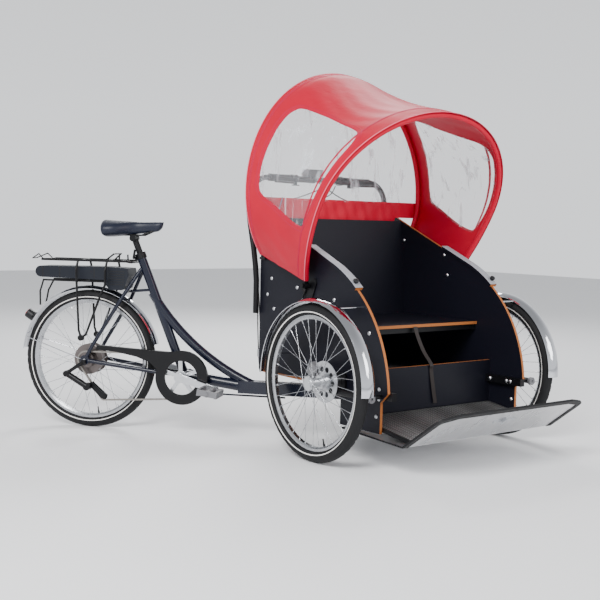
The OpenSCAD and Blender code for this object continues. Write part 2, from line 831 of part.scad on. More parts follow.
module saddle() {
  color(navy) rear_half() hull() {
    for (s = [-1, 1]) {
      translate([-1338, s * 68, 888]) scale([1.25, 1, 0.75]) sphere(27, $fn = 32);
      translate([-1290, s * 52, 893]) scale([1.4, 1, 0.7]) sphere(22, $fn = 32);
    }
    translate([-1126, 0, 886]) scale([1, 1.1, 0.75]) sphere(18, $fn = 32);
    translate([-1180, 0, 888]) scale([1.4, 1.3, 0.8]) sphere(19, $fn = 32);
  }
}

module seat_clamp() {
  p0 = seat_top - seat_dir * 16;
  p1 = seat_top + seat_dir * 8;
  bolt = [p0[0] - 26, p0[1] + 2];
  color(steel_black) rear_half() difference() {
    union() {
      rod(flat3(p0), flat3(p1), tube_r + 4);
      y_cyl(bolt[0], bolt[1], -34, 34, 4);
      y_cyl(bolt[0] + 4, bolt[1], -12, 12, 8);
      rod([bolt[0], -32, bolt[1]], [bolt[0] + 8, -37, bolt[1] + 36], 5);
    }
    rod(flat3(p0 - seat_dir * 20), flat3(seat_top + seat_dir * 0.2), tube_r + 0.1);
    rod(flat3(p0 - seat_dir), flat3(p1 + seat_dir * 20), post_r + 0.3);
  }
}

module rear_fender() {
  color(chrome) rear_half() {
    translate([axle_b[0], 0, axle_b[1]]) rotate([90, 0, 0]) rotate([0, 0, 14])
      rotate_extrude(angle = 160, $fn = wheel_fn) fender_profile(rear_r + 20);
    both() rod([-1725, 30, 385], [-1452, 73, 306], 2);
  }
}

rack_z = 730;
rack_y = 62;
rack_low = 640;
rear_loop = [
  [-1640, 46, rack_z], [-1664, 42, 752], [-1704, 20, 732],
  [-1704, -20, 732], [-1664, -42, 752], [-1640, -46, rack_z]
];

module rack() {
  $fn = 16;
  leg = 82;
  low_y = 52;
  color(steel_black) rear_half() {
    both() {
      chain_of_rods([[-1640, rack_y, rack_z], [-1252, rack_y, rack_z], [-1234, rack_y - 18, rack_z - 4]], 5);
      chain_of_rods([[-1471, rack_y, rack_z], [-1471, leg, 690], [-1457, leg, 430], [-1446, leg, 398]], 4.7);
      chain_of_rods([
        [-1338, rack_y, rack_z], [-1338, leg, 690], [-1338, leg, 628],
        [-1356, leg, 590], [-1424, leg, 412], [-1446, leg, 398]
      ], 4.7);
      rod([-1446, leg - 7, 398], [-1446, leg + 7, 398], 13);
      chain_of_rods([
        [-1338, leg, rack_low], [-1356, low_y, rack_low], [-1636, low_y, rack_low],
        [-1658, low_y - 12, 590], [-1664, low_y - 26, 528]
      ], 3.8);
      rod([-1352, rack_y - 12, rack_z], [-1316, 40, 760], 3.5);
      rod([-1288, rack_y - 12, rack_z], [-1288, 46, 756], 3.5);
    }
    rod([-1234, -rack_y + 18, rack_z - 4], [-1234, rack_y - 18, rack_z - 4], 4.4);
    rod([-1316, -42, 760], [-1316, 42, 760], 3.1);
    chain_of_rods(rear_loop, 2.5);
    for (x = [-1636, -1471, -1352, -1288]) rod([x, -rack_y, rack_z], [x, rack_y, rack_z], 4);
    rod([-1467, -leg, rack_low], [-1467, leg, rack_low], 3.3);
  }
}

module battery() {
  color(navy) rear_half() slab(-54, 54) polygon(concat(
    arc([-1650, 677], 24, 90, 270, 10),
    [[-1348, 647], [-1348, 704]]
  ));
}

module controller() {
  color("#101016") rear_half() slab(-48, 48) polygon([
    [-1347.5, 704], [-1250, 700], [-1246, 668], [-1266, 612], [-1278, 606], [-1332, 606], [-1347.5, 625]
  ]);
}

module tail_light() {
  color(rubber) rear_half() rod([-1709, 0, 472], [-1736, 0, 489], 21);
}

case_r = 115;
case_win = 72;
case_y0 = -66;
case_y1 = -62;

module chain_case() {
  hub_c = bb + [6, -2];
  arm_top = [[-1382, 367], [-1030, 352]];
  color(steel_black) rear_half() {
    slab(case_y0, case_y1) difference() {
      union() {
        translate(hub_c) circle(case_r, $fn = wheel_fn);
        polygon([
          arm_top[0], arm_top[1], [-980, 300], [-1100, 268],
          [-1140, 306], [-1200, 326], [-1290, 342], [-1382, 349]
        ]);
      }
      translate(hub_c) circle(case_win, $fn = wheel_fn);
    }
    translate([hub_c[0], case_y1 + 18, hub_c[1]]) rotate([90, 0, 0]) rotate([0, 0, -92])
      rotate_extrude(angle = 190, $fn = wheel_fn) translate([case_r - 4, 0]) square([3, 19]);
    slab(case_y1 - 1, case_y1 + 18) polygon([
      for (d = [[0, -0.5], [1, -0.5], [1, -3.5], [0, -3.5]]) arm_top[d[0]] + [2, d[1]]
    ]);
  }
}

// Bench of the chain: tangent points of two circles, on the side s
function touch(c1, r1, c2, r2, s) = let (
  d = c2 - c1,
  a = atan2(d[1], d[0]) + s * acos((r1 - r2) / norm(d))
) [c1 + r1 * [cos(a), sin(a)], c2 + r2 * [cos(a), sin(a)]];

pulley = [-1351, 146];
pulley_r = 14;

module chain() {
  wrap = ring_r + 0.6 + chain_t / 2;
  small = cassette_r + 0.6 + chain_t / 2;
  idle = pulley_r + 0.6 + chain_t / 2;
  up = touch(bb, wrap, axle_b, small, -1);
  low = touch(bb, wrap, pulley, idle, 1);
  back = touch(axle_b, small, pulley, idle, -1);
  a0 = atan2(up[0][1] - bb[1], up[0][0] - bb[0]);
  a1 = atan2(low[0][1] - bb[1], low[0][0] - bb[0]);
  a2 = 360 + atan2(back[0][1] - axle_b[1], back[0][0] - axle_b[0]);
  function loop(d) = concat(
    arc(bb, wrap + d, a1, a0, 48),
    arc(axle_b, small + d, a0, a2, 16),
    arc(pulley, idle + d, a2 - 360, a1, 8)
  );
  color("#6b6660") rear_half() slab(chain_y - chain_w / 2, chain_y + chain_w / 2) difference() {
    polygon(loop(chain_t / 2));
    polygon(loop(-chain_t / 2));
  }
}

module derailleur() {
  color(steel_black) rear_half() {
    rod([-1440, -80, 290], [-1508, -84, 244], 8);
    y_cyl(-1436, 292, -84, -71, 11);
    rod([-1514, -78, 240], [-1424, -74, 188], 13);
    y_cyl(-1512, 240, -92, -66, 13);
    y_cyl(-1420, 187, -84, -58, 16);
    for (y = [-60, -42]) slab(y, y + 2) polygon([[-1424, 196], [-1406, 206], [-1338, 150], [-1346, 132], [-1362, 138]]);
    y_cyl(pulley[0], pulley[1], chain_y - 3, chain_y + 3, pulley_r);
    y_cyl(pulley[0], pulley[1], -60, -41, 3);
  }
}

module rear_axle() {
  color(silver) rear_half() {
    y_cyl(axle_b[0], axle_b[1], -71, 84, 6);
    y_cyl(axle_b[0], axle_b[1], 70, 78, 12);
  }
}

module crankset() {
  color(silver) rear_half() {
    y_cyl(bb[0], bb[1], -84, 84, 10);
    translate([bb[0], chain_y, bb[1]]) rotate([90, 0, 0]) {
      translate([0, 0, -1.5]) difference() {
        cylinder(h = 3, r = ring_r, $fn = wheel_fn);
        translate([0, 0, -1]) cylinder(h = 5, r = ring_r - 14, $fn = wheel_fn);
      }
      for (k = [0 : 4]) rotate([0, 0, rest_crank + 36 + 72 * k]) translate([0, -8, -1.5]) cube([ring_r - 10, 16, 5]);
      translate([0, 0, -1.5]) cylinder(h = 9, r = 26);
    }
    translate([bb[0], 0, bb[1]]) for (s = [-1, 1]) {
      turn = s < 0 ? rest_crank : rest_crank + 180;
      d = [cos(turn), sin(turn)] * crank_len;
      difference() {
        union() {
          y_cyl(0, 0, s < 0 ? -86 : 70, s < 0 ? -70 : 86, 19);
          y_cyl(d[0], d[1], s < 0 ? -86 : 70, s < 0 ? -70 : 86, 15);
          slab(s < 0 ? -85 : 72, s < 0 ? -72 : 85) polygon([
            rot2([6, 16], turn), rot2([crank_len, 11], turn), rot2([crank_len, -11], turn), rot2([6, -16], turn)
          ]);
        }
        y_cyl(d[0], d[1], -90, 90, 7 + run_gap);
      }
    }
  }
}

module pedal(side) {
  turn = side < 0 ? rest_crank : rest_crank + 180;
  c = bb + [cos(turn), sin(turn)] * crank_len;
  color(silver) rear_half() mirror([0, side < 0 ? 1 : 0, 0]) {
    y_cyl(c[0], c[1], 70, 196, 7);
    translate([c[0], 0, c[1]]) rotate([0, 8, 0]) {
      y_cyl(0, 0, 96, 192, 14);
      for (s = [-1, 1]) block([s * 38 - 5, 94, -14], [s * 38 + 5, 192, 14]);
      for (y = [94, 184]) block([-38, y, -12], [38, y + 8, 12]);
    }
  }
}

module at_rear_wheel() {
  rear_half() translate([axle_b[0], 0, axle_b[1]]) rotate([-90, 0, 0]) children();
}

module rear_hub() {
  color("#8d7f78") at_rear_wheel() difference() {
    union() {
      translate([0, 0, -26]) cylinder(h = 58, r = motor_r - 6);
      for (z = [-24, 28]) translate([0, 0, z - 1.5]) cylinder(h = 3, r = motor_r);
      translate([0, 0, -42]) cylinder(h = 76, r = 24);
      for (k = [0 : 5]) translate([0, 0, -40 + 3 * k]) cylinder(h = 1.6, r = 24 + 3.6 * k, $fn = wheel_fn);
      translate([0, 0, -51]) cylinder(h = 2, r = cassette_r, $fn = wheel_fn);
      translate([0, 0, -58]) cylinder(h = 18, r = 16);
    }
    translate([0, 0, -70]) cylinder(h = 140, r = 6 + run_gap);
  }
}

front_frame();
steering_yoke();
kingpin();
front_axles();
side_panel(-1);  // side_panel_right
side_panel(1);  // side_panel_left
back_panel();
seat_board();
kick_panel();
storage_floor();
foot_floor();
tread_plate();
footplate();
footplate_trim();
catches();
inner_rails();
panel_bolts();
armrests();
seat_strap();
front_fenders();
tube_plugs();
front_calipers();
handlebar();
grips();
bar_controls();
display();
control_cables();
hood_brackets();
rear_hoop();
hood_cover();
hood_windows();
lever(-1);  // brake_lever_right
lever(1);  // brake_lever_left
front_hoop();
color(rubber) at_front_wheel(-1) tyre_ring(front_r, front_tyre_w);  // right_tyre
color(silver) at_front_wheel(-1) laced_rim(front_r, front_tyre_w, flange_r, flange_off, flange_off);  // right_rim
color(silver) at_front_wheel(-1) front_hub();  // right_hub
color(rubber) at_front_wheel(1) tyre_ring(front_r, front_tyre_w);  // left_tyre
color(silver) at_front_wheel(1) laced_rim(front_r, front_tyre_w, flange_r, flange_off, flange_off);  // left_rim
color(silver) at_front_wheel(1) front_hub();  // left_hub
bike_frame();
head_bushes();
seat_post();
saddle();
seat_clamp();
rear_fender();
rack();
battery();
controller();
tail_light();
chain_case();
chain();
derailleur();
rear_axle();
crankset();
pedal(-1);  // right_pedal
pedal(1);  // left_pedal
color(rubber) at_rear_wheel() tyre_ring(rear_r, rear_tyre_w);  // rear_tyre
color(silver) at_rear_wheel() laced_rim(rear_r, rear_tyre_w, motor_r, 24, 28);  // rear_rim
rear_hub();
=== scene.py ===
"""Looks of the cargo bicycle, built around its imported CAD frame.

Places are given in the CAD's own millimetres: front(x, y, z) for the box, with x forward from the
kingpin, and rear(x, y, z) for the steered rear half. Both return metres in the row frame.
"""

import math

import bmesh
import bpy
from mathutils import Matrix, Vector
from mathutils.geometry import delaunay_2d_cdt


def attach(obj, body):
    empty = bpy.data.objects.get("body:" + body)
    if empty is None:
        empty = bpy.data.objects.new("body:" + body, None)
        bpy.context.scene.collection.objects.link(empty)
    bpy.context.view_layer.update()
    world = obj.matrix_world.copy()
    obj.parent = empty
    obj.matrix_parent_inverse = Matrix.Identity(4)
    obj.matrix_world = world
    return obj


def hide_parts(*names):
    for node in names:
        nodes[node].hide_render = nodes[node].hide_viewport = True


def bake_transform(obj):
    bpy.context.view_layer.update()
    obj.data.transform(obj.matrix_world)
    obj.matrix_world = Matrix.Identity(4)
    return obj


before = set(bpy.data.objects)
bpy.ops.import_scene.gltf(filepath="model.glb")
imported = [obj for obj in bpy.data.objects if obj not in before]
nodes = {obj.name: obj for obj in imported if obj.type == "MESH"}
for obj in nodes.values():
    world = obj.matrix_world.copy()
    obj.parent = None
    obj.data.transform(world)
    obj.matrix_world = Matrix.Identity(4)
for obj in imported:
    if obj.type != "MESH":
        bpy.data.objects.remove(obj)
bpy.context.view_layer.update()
KINGPIN = Vector((411, 303, 0))  # the row frame's place for the kingpin, mm
STEER = math.radians(40.2)  # how far the rear half lies round at rest


# ---- Places ----

def front(x, y, z):
    return (Vector((x, y, z)) + KINGPIN) / 1000


def rear(x, y, z):
    c, s = math.cos(STEER), math.sin(STEER)
    return (Vector((x * c - y * s, x * s + y * c, z)) + KINGPIN) / 1000


# ---- Materials ----

def socket(node, name, value):
    node.inputs[name].default_value = value


def material(name, colour, rough, metal=0.0, coat=0.0, alpha=1.0, sheen=0.0, spec=0.5):
    m = bpy.data.materials.new(name)
    m.use_nodes = True
    b = m.node_tree.nodes["Principled BSDF"]
    socket(b, "Base Color", (*colour, 1))
    socket(b, "Roughness", rough)
    socket(b, "Metallic", metal)
    socket(b, "Coat Weight", coat)
    socket(b, "Coat Roughness", 0.08)
    socket(b, "Alpha", alpha)
    socket(b, "Specular IOR Level", spec)
    socket(b, "Sheen Weight", sheen)
    return m


def add(m, kind, **sockets):
    n = m.node_tree.nodes.new(kind)
    for k, v in sockets.items():
        socket(n, k.replace("_", " "), v)
    return n


def link(m, a, out, b, into):
    m.node_tree.links.new(a.outputs[out], b.inputs[into])


def shader(m):
    return m.node_tree.nodes["Principled BSDF"]


def coords(m, stretch=(1, 1, 1)):
    tc = add(m, "ShaderNodeTexCoord")
    mp = add(m, "ShaderNodeMapping", Scale=stretch)
    link(m, tc, "Object", mp, "Vector")
    return mp


# A colour Mix node's sockets, which share their names with its other kinds
MIX_FACTOR, MIX_FIRST, MIX_SECOND, MIX_COLOUR = 0, 6, 7, 2


def mixed(m, by, out, first, second):
    """A mix of two colours or other mixes, driven by a node's output."""
    mix = add(m, "ShaderNodeMix")
    mix.data_type = "RGBA"
    link(m, by, out, mix, MIX_FACTOR)
    for source, into in ((first, MIX_FIRST), (second, MIX_SECOND)):
        if isinstance(source, tuple):
            socket(mix, into, (*source, 1))
        else:
            link(m, source, MIX_COLOUR, mix, into)
    return mix


def bumped(m, by, out, strength, distance):
    b = add(m, "ShaderNodeBump", Strength=strength, Distance=distance)
    link(m, by, out, b, "Height")
    link(m, b, "Normal", shader(m), "Normal")


def ranged(m, by, out, into, **limits):
    """Feeds a node's output, mapped to a range, to one of the shader's sockets."""
    r = add(m, "ShaderNodeMapRange", **limits)
    link(m, by, out, r, "Value")
    link(m, r, "Result", shader(m), into)


def calculated(m, operation, by, out, value=None):
    """A Math node on a node's output."""
    n = add(m, "ShaderNodeMath")
    n.operation = operation
    if value is not None:
        socket(n, 1, value)
    link(m, by, out, n, 0)
    return n


def noisy(m, scale, bump=0.0, rough=None, tint=None, stretch=(1, 1, 1), distance=0.001):
    """Adds a noise that roughens, bumps or tints the material."""
    mp = coords(m, stretch)
    n = add(m, "ShaderNodeTexNoise", Scale=scale, Detail=4.0)
    link(m, mp, "Vector", n, "Vector")
    if bump:
        bumped(m, n, "Fac", bump, distance)
    if rough:
        ranged(m, n, "Fac", "Roughness", To_Min=rough[0], To_Max=rough[1])
    if tint:
        link(m, mixed(m, n, "Fac", *tint), MIX_COLOUR, shader(m), "Base Color")
    return m


PLY = 0.0011
EDGE_FACING = 0.6


def plywood(name, thin_axis):
    """Dark film-faced plywood whose cut edges, those not facing thin_axis, show orange plies."""
    m = material(name, (0.02, 0.02, 0.03), 0.42, spec=0.22)
    tc = add(m, "ShaderNodeTexCoord")
    facing = add(m, "ShaderNodeSeparateXYZ")
    link(m, tc, "Normal", facing, "Vector")
    place = add(m, "ShaderNodeSeparateXYZ")
    link(m, tc, "Object", place, "Vector")
    axis = "XYZ".index(thin_axis)
    edge = calculated(m, "LESS_THAN", calculated(m, "ABSOLUTE", facing, axis), 0, EDGE_FACING)
    wave = calculated(m, "PINGPONG", place, axis, PLY)
    plies = add(m, "ShaderNodeMapRange", From_Max=PLY)
    link(m, wave, 0, plies, "Value")
    grain = add(m, "ShaderNodeTexNoise", Scale=60.0, Detail=6.0)
    link(m, coords(m, (1, 1, 8)), "Vector", grain, "Vector")
    wood = mixed(m, plies, "Result", (0.50, 0.17, 0.045), (0.27, 0.085, 0.025))
    film = mixed(m, grain, "Fac", (0.003, 0.0035, 0.008), (0.008, 0.008, 0.014))
    link(m, mixed(m, edge, 0, film, wood), MIX_COLOUR, shader(m), "Base Color")
    bumped(m, grain, "Fac", 0.15, 0.0004)
    return m


BLACK = noisy(material("black_steel", (0.004, 0.004, 0.005), 0.34, spec=0.25), 90, rough=(0.28, 0.44))
NAVY = noisy(
    material("frame_paint", (0.003, 0.005, 0.016),
    0.22, coat=0.2, spec=0.35), 40, rough=(0.18, 0.3),
)
SILVER = noisy(material("bright_steel", (0.62, 0.63, 0.65), 0.3, metal=1), 60, rough=(0.22, 0.42))
CHROME = noisy(material("chrome", (0.60, 0.61, 0.64), 0.08, metal=1), 30, rough=(0.04, 0.13))
STAINLESS = noisy(
    material("stainless", (0.66, 0.66, 0.67),
    0.3, metal=1), 7, bump=0.5, rough=(0.2, 0.4), stretch=(1, 5, 1), distance=0.006,
)
TREAD = noisy(material("tread", (0.30, 0.29, 0.28), 0.42, metal=0.9), 70, rough=(0.35, 0.55))
studs = add(TREAD, "ShaderNodeTexVoronoi", Scale=95.0, Randomness=0.0)
link(TREAD, coords(TREAD, (1, 1, 0)), "Vector", studs, "Vector")
bumped(TREAD, studs, "Distance", 0.9, 0.003)
ranged(TREAD, studs, "Distance", "Base Color", From_Min=0.15, From_Max=0.55, To_Min=0.42, To_Max=0.07)
RUBBER = noisy(material("rubber", (0.008, 0.008, 0.009), 0.6, spec=0.25), 260, bump=0.3, distance=0.0006)
TYRE = noisy(material("tyre", (0.007, 0.007, 0.008), 0.7, spec=0.3), 320, bump=0.35, distance=0.0006)
STRIPE = material("reflective_stripe", (0.78, 0.76, 0.73), 0.45)
WEB = noisy(
    material("webbing", (0.022, 0.017, 0.016),
    0.5, spec=0.3), 300, bump=0.3, stretch=(1, 1, 6), distance=0.0005,
)
GREY = noisy(material("grey_plastic", (0.17, 0.17, 0.18), 0.5), 200, bump=0.15, distance=0.0004)
PLASTIC = noisy(
    material("black_plastic", (0.008, 0.008, 0.010),
    0.45, spec=0.3), 240, bump=0.2, distance=0.0004,
)
CABLE = material("cable", (0.016, 0.016, 0.018), 0.42)
BRONZE = noisy(material("bronze", (0.55, 0.36, 0.14), 0.35, metal=1), 80, rough=(0.28, 0.45))
CHAIN = noisy(material("chain_steel", (0.30, 0.28, 0.26), 0.35, metal=1), 160, rough=(0.28, 0.5))
MOTOR = noisy(material("motor", (0.15, 0.13, 0.125), 0.38, metal=0.9), 120, rough=(0.3, 0.48))
RIM = noisy(material("rim", (0.45, 0.46, 0.48), 0.26, metal=1), 70, rough=(0.2, 0.36))
LEATHER = noisy(material("saddle", (0.006, 0.009, 0.022), 0.42, spec=0.35), 520, bump=0.35, distance=0.0005)
ARM = noisy(
    material("arm_top", (0.30, 0.31, 0.34),
    0.55), 220, bump=0.4, stretch=(9, 1, 1), distance=0.0008,
)
BATTERY = noisy(
    material("battery_case", (0.006, 0.008, 0.014),
    0.4, spec=0.3), 260, bump=0.12, distance=0.0004,
)
LAMP_RED = material("lamp_red", (0.55, 0.01, 0.02), 0.12, coat=1)
GLASS = material("display_glass", (0.02, 0.03, 0.04), 0.05, coat=1)
STRAP_GREY = noisy(material("strap_grey", (0.20, 0.16, 0.24), 0.6), 400, bump=0.3, distance=0.0004)
PIPING = noisy(material("piping", (0.72, 0.16, 0.23), 0.5, spec=0.2), 300, bump=0.15, distance=0.0003)
THREAD = material("thread", (0.42, 0.0, 0.07), 0.6)
FABRIC = noisy(
    material("hood_fabric", (0.50, 0.0, 0.024), 0.48, spec=0.2),
    9, bump=0.35, stretch=(1, 1.6, 1), tint=((0.46, 0.0, 0.021), (0.56, 0.0, 0.028)), distance=0.006,
)
VINYL = noisy(
    material("clear_vinyl", (0.80, 0.83, 0.87),
    0.07, coat=0.8), 11, bump=1.0, stretch=(1, 3.4, 0.7), distance=0.02,
)
# Painted highlight: a noise makes the clear vinyl's whitish colour opaque in streaks, standing in for light
# caught along its creases
painted_highlight_streaks = add(VINYL, "ShaderNodeTexNoise", Scale=9.0, Detail=3.0, Distortion=1.2)
link(VINYL, coords(VINYL, (2.2, 2.2, 0.55)), "Vector", painted_highlight_streaks, "Vector")
ranged(VINYL, painted_highlight_streaks, "Fac", "Alpha", From_Min=0.56, From_Max=0.74, To_Min=0.06, To_Max=0.5)
PLY_Y = plywood("ply_side", "Y")
PLY_X = plywood("ply_cross", "X")
PLY_Z = plywood("ply_level", "Z")

FINISH = {
    "front_frame": BLACK, "steering_yoke": BLACK, "kingpin": SILVER, "front_axles": SILVER,
    "side_panel_right": PLY_Y, "side_panel_left": PLY_Y, "back_panel": PLY_X, "seat_board": PLY_Z,
    "kick_panel": PLY_X, "storage_floor": PLY_Z, "foot_floor": BLACK, "tread_plate": TREAD,
    "footplate": STAINLESS, "footplate_trim": RUBBER, "catches": SILVER, "inner_rails": BLACK,
    "panel_bolts": SILVER, "armrests": PLY_Y, "seat_strap": WEB, "front_fenders": CHROME,
    "tube_plugs": GREY, "front_calipers": GREY, "handlebar": BLACK, "grips": RUBBER,
    "bar_controls": PLASTIC, "display": PLASTIC, "control_cables": CABLE, "hood_brackets": BLACK,
    "rear_hoop": BLACK, "hood_cover": FABRIC, "hood_windows": VINYL, "brake_lever_right": BLACK,
    "brake_lever_left": BLACK, "front_hoop": BLACK, "right_tyre": TYRE, "right_rim": RIM,
    "right_hub": SILVER, "left_tyre": TYRE, "left_rim": RIM, "left_hub": SILVER, "bike_frame": NAVY,
    "head_bushes": BRONZE, "seat_post": BLACK, "saddle": LEATHER, "seat_clamp": BLACK,
    "rear_fender": CHROME, "rack": BLACK, "battery": BATTERY, "controller": BATTERY,
    "tail_light": PLASTIC, "chain_case": BLACK, "chain": CHAIN, "derailleur": BLACK,
    "rear_axle": SILVER, "crankset": SILVER, "right_pedal": GREY, "left_pedal": GREY,
    "rear_tyre": TYRE, "rear_rim": RIM, "rear_hub": MOTOR,
}
SMOOTH_ANGLE = math.radians(42)


def paint(obj, mat):
    obj.data.materials.clear()
    obj.data.materials.append(mat)


def soften(obj, angle=SMOOTH_ANGLE):
    obj.data.polygons.foreach_set("use_smooth", [True] * len(obj.data.polygons))
    obj.data.set_sharp_from_angle(angle=angle)


for name, mat in FINISH.items():
    paint(nodes[name], mat)
    soften(nodes[name])


# ---- Mesh helpers ----

def piece(name, verts, faces, mat, body=None, smooth=True):
    me = bpy.data.meshes.new(name)
    me.from_pydata([tuple(v) for v in verts], [], faces)
    me.validate()
    obj = bpy.data.objects.new(name, me)
    bpy.context.scene.collection.objects.link(obj)
    paint(obj, mat)
    if smooth:
        soften(obj)
    if body:
        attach(obj, body)
    return obj


def spline(a, b, c, d, t):
    """The point at t between b and c on the smooth line through four points."""
    return 0.5 * (2 * b + (c - a) * t + (2 * a - 5 * b + 4 * c - d) * t * t + (3 * b - a - 3 * c + d) * t ** 3)


def curve_points(points, steps):
    """A smooth line through the points."""
    p = [Vector(points[0])] + [Vector(q) for q in points] + [Vector(points[-1])]
    out = []
    for i in range(1, len(p) - 2):
        out += [spline(*p[i - 1:i + 3], k / steps) for k in range(steps)]
    return out + [p[-1]]


def tube_mesh(points, radius, sides=14):
    """(vertices, faces) of a closed tube; radius is a number or one for each point."""
    pts = [Vector(p) for p in points]
    verts, faces = [], []
    side = None
    for i, p in enumerate(pts):
        t = (pts[min(i + 1, len(pts) - 1)] - pts[max(i - 1, 0)]).normalized()
        if side is None:
            side = t.orthogonal().normalized()
        side = (side - t * side.dot(t)).normalized()
        up = t.cross(side)
        r = radius[i] if hasattr(radius, "__len__") else radius
        for k in range(sides):
            a = 2 * math.pi * k / sides
            verts.append(p + (side * math.cos(a) + up * math.sin(a)) * r)
    for i in range(len(pts) - 1):
        for k in range(sides):
            a, b = i * sides + k, i * sides + (k + 1) % sides
            faces.append((a, b, b + sides, a + sides))
    faces.append(tuple(range(sides))[::-1])
    faces.append(tuple(range((len(pts) - 1) * sides, len(pts) * sides)))
    return verts, faces


def merged(parts):
    verts, faces = [], []
    for v, f in parts:
        n = len(verts)
        verts += list(v)
        faces += [tuple(n + i for i in q) for q in f]
    return verts, faces


def lathe_mesh(profile, centre, axis, steps, closed=True, bumps=None):
    """Turns (distance along the axis, radius) points about axis; bumps(k, j) moves the radius."""
    axis = Vector(axis).normalized()
    e = axis.orthogonal().normalized()
    f = axis.cross(e)
    n = len(profile)
    verts, faces = [], []
    for k in range(steps):
        a = 2 * math.pi * k / steps
        d = e * math.cos(a) + f * math.sin(a)
        for j, (h, r) in enumerate(profile):
            verts.append(Vector(centre) + axis * h + d * (r + (bumps(k, j) if bumps else 0)))
    last = n if closed else n - 1
    for k in range(steps):
        for j in range(last):
            a, b = k * n + j, k * n + (j + 1) % n
            c, d = ((k + 1) % steps) * n + (j + 1) % n, ((k + 1) % steps) * n + j
            faces.append((a, b, c, d))
    return verts, faces


def rounded_block(name, corners, place, mat, body, bevel=0.002):
    """A bevelled block between two corners, placed by front or rear."""
    (x0, y0, z0), (x1, y1, z1) = corners
    bm = bmesh.new()
    grid = [bm.verts.new(place(x, y, z)) for x in (x0, x1) for y in (y0, y1) for z in (z0, z1)]
    for q in ((0, 1, 3, 2), (4, 6, 7, 5), (0, 4, 5, 1), (2, 3, 7, 6), (0, 2, 6, 4), (1, 5, 7, 3)):
        bm.faces.new([grid[i] for i in q])
    bmesh.ops.recalc_face_normals(bm, faces=bm.faces)
    bmesh.ops.bevel(bm, geom=bm.edges[:], offset=bevel, segments=3, affect="EDGES", profile=0.5)
    me = bpy.data.meshes.new(name)
    bm.to_mesh(me)
    bm.free()
    obj = bpy.data.objects.new(name, me)
    bpy.context.scene.collection.objects.link(obj)
    paint(obj, mat)
    soften(obj)
    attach(obj, body)
    return obj


# ---- Hood ----

# The hoops are half ellipses, with the feet of each carried on below its middle
PIVOT_X, PIVOT_Z = -250, 660
LEAN = math.radians(28.3)
FRONT_FOOT, REAR_FOOT = math.radians(30.2), math.radians(35.9)
FRONT_MID, FRONT_LOW, FRONT_HIGH, FRONT_HALF = 350, 640, 422, 477
HOOP_X = -545
REAR_MID, REAR_LOW, REAR_HIGH, REAR_HALF = 1040, 445, 516, 483
REAR_SWEEP = 21
COVER_OFF = 10.9
HEM, BEYOND = 0.02, 12
SAG, GATHER, GATHERS = 22, 1.1, 26
ACROSS, AROUND = 0.55, 2.3  # metres that one unit of u and of v cover, roughly


def front_hoop(a, off):
    s = FRONT_MID + ((FRONT_LOW if math.sin(a) < 0 else FRONT_HIGH) + off) * math.sin(a)
    y = -(FRONT_HALF + off) * math.cos(a)
    return Vector((PIVOT_X + s * math.sin(LEAN), y, PIVOT_Z + s * math.cos(LEAN)))


def rear_hoop(a, off):
    back = REAR_SWEEP * (math.sin(a) / math.sin(REAR_FOOT)) ** 2 if math.sin(a) < 0 else 0
    b = REAR_LOW if math.sin(a) < 0 else REAR_HIGH
    return Vector((HOOP_X - back, -(REAR_HALF + off) * math.cos(a), REAR_MID + (b + off) * math.sin(a)))


def cover(u, v, off=0.0):
    """Point of the cover in box millimetres: u from front hoop to rear hoop, v from foot to foot."""
    v = min(max(v, 0.0), 1.0)
    w = min(max((u - 1 / 12) * 1.2, 0), 1)
    sag = -SAG * 4 * w * (1 - w) * math.sin(math.pi * v) ** 0.6
    between = min(max(u, 0), 1)
    pull = GATHER * math.sin(2 * math.pi * (GATHERS * v + 0.8 * math.sin(5 * u))) * math.sin(math.pi * between)
    o = COVER_OFF + off + sag + pull
    f = front_hoop(-FRONT_FOOT + v * (math.pi + 2 * FRONT_FOOT), o)
    r = rear_hoop(-REAR_FOOT + v * (math.pi + 2 * REAR_FOOT), o)
    p = f.lerp(r, between)
    p.x += BEYOND * max(0.0, -u / HEM) - BEYOND * max(0.0, (u - 1) / HEM)
    return p


WINDOW = [
    (0.75, 0.331), (0.56, 0.333), (0.365, 0.326), (0.19, 0.318), (0.12, 0.306), (0.078, 0.28), (0.07, 0.245),
    (0.072, 0.178), (0.085, 0.125), (0.12, 0.098), (0.17, 0.092), (0.38, 0.101), (0.66, 0.124), (0.80, 0.139),
    (0.845, 0.158), (0.852, 0.2), (0.845, 0.242), (0.838, 0.288), (0.81, 0.319),
]


def window_outline(grow=0.0, mirrored=False):
    """A side window's outline, smoothed; grow widens it by about that many metres."""
    loop = [Vector((u, v, 0)) for u, v in WINDOW]
    n = len(loop)
    pts = []
    for i in range(n):
        near = [loop[(i + k - 1) % n] for k in range(4)]
        pts += [spline(*near, k / 4) for k in range(4)]
    if grow:
        out = []
        for i, p in enumerate(pts):
            t = pts[(i + 1) % len(pts)] - pts[i - 1]
            t = Vector((t.x * ACROSS, t.y * AROUND, 0)).normalized()
            out.append(Vector((p.x + t.y * grow / ACROSS, p.y - t.x * grow / AROUND, 0)))
        pts = out
    return [(p.x, 1 - p.y if mirrored else p.y) for p in (pts[::-1] if mirrored else pts)]


def inside(p, loop):
    hit = False
    for i in range(len(loop)):
        (x0, y0), (x1, y1) = loop[i - 1], loop[i]
        if (y0 > p[1]) != (y1 > p[1]) and p[0] < (x1 - x0) * (p[1] - y0) / (y1 - y0) + x0:
            hit = not hit
    return hit


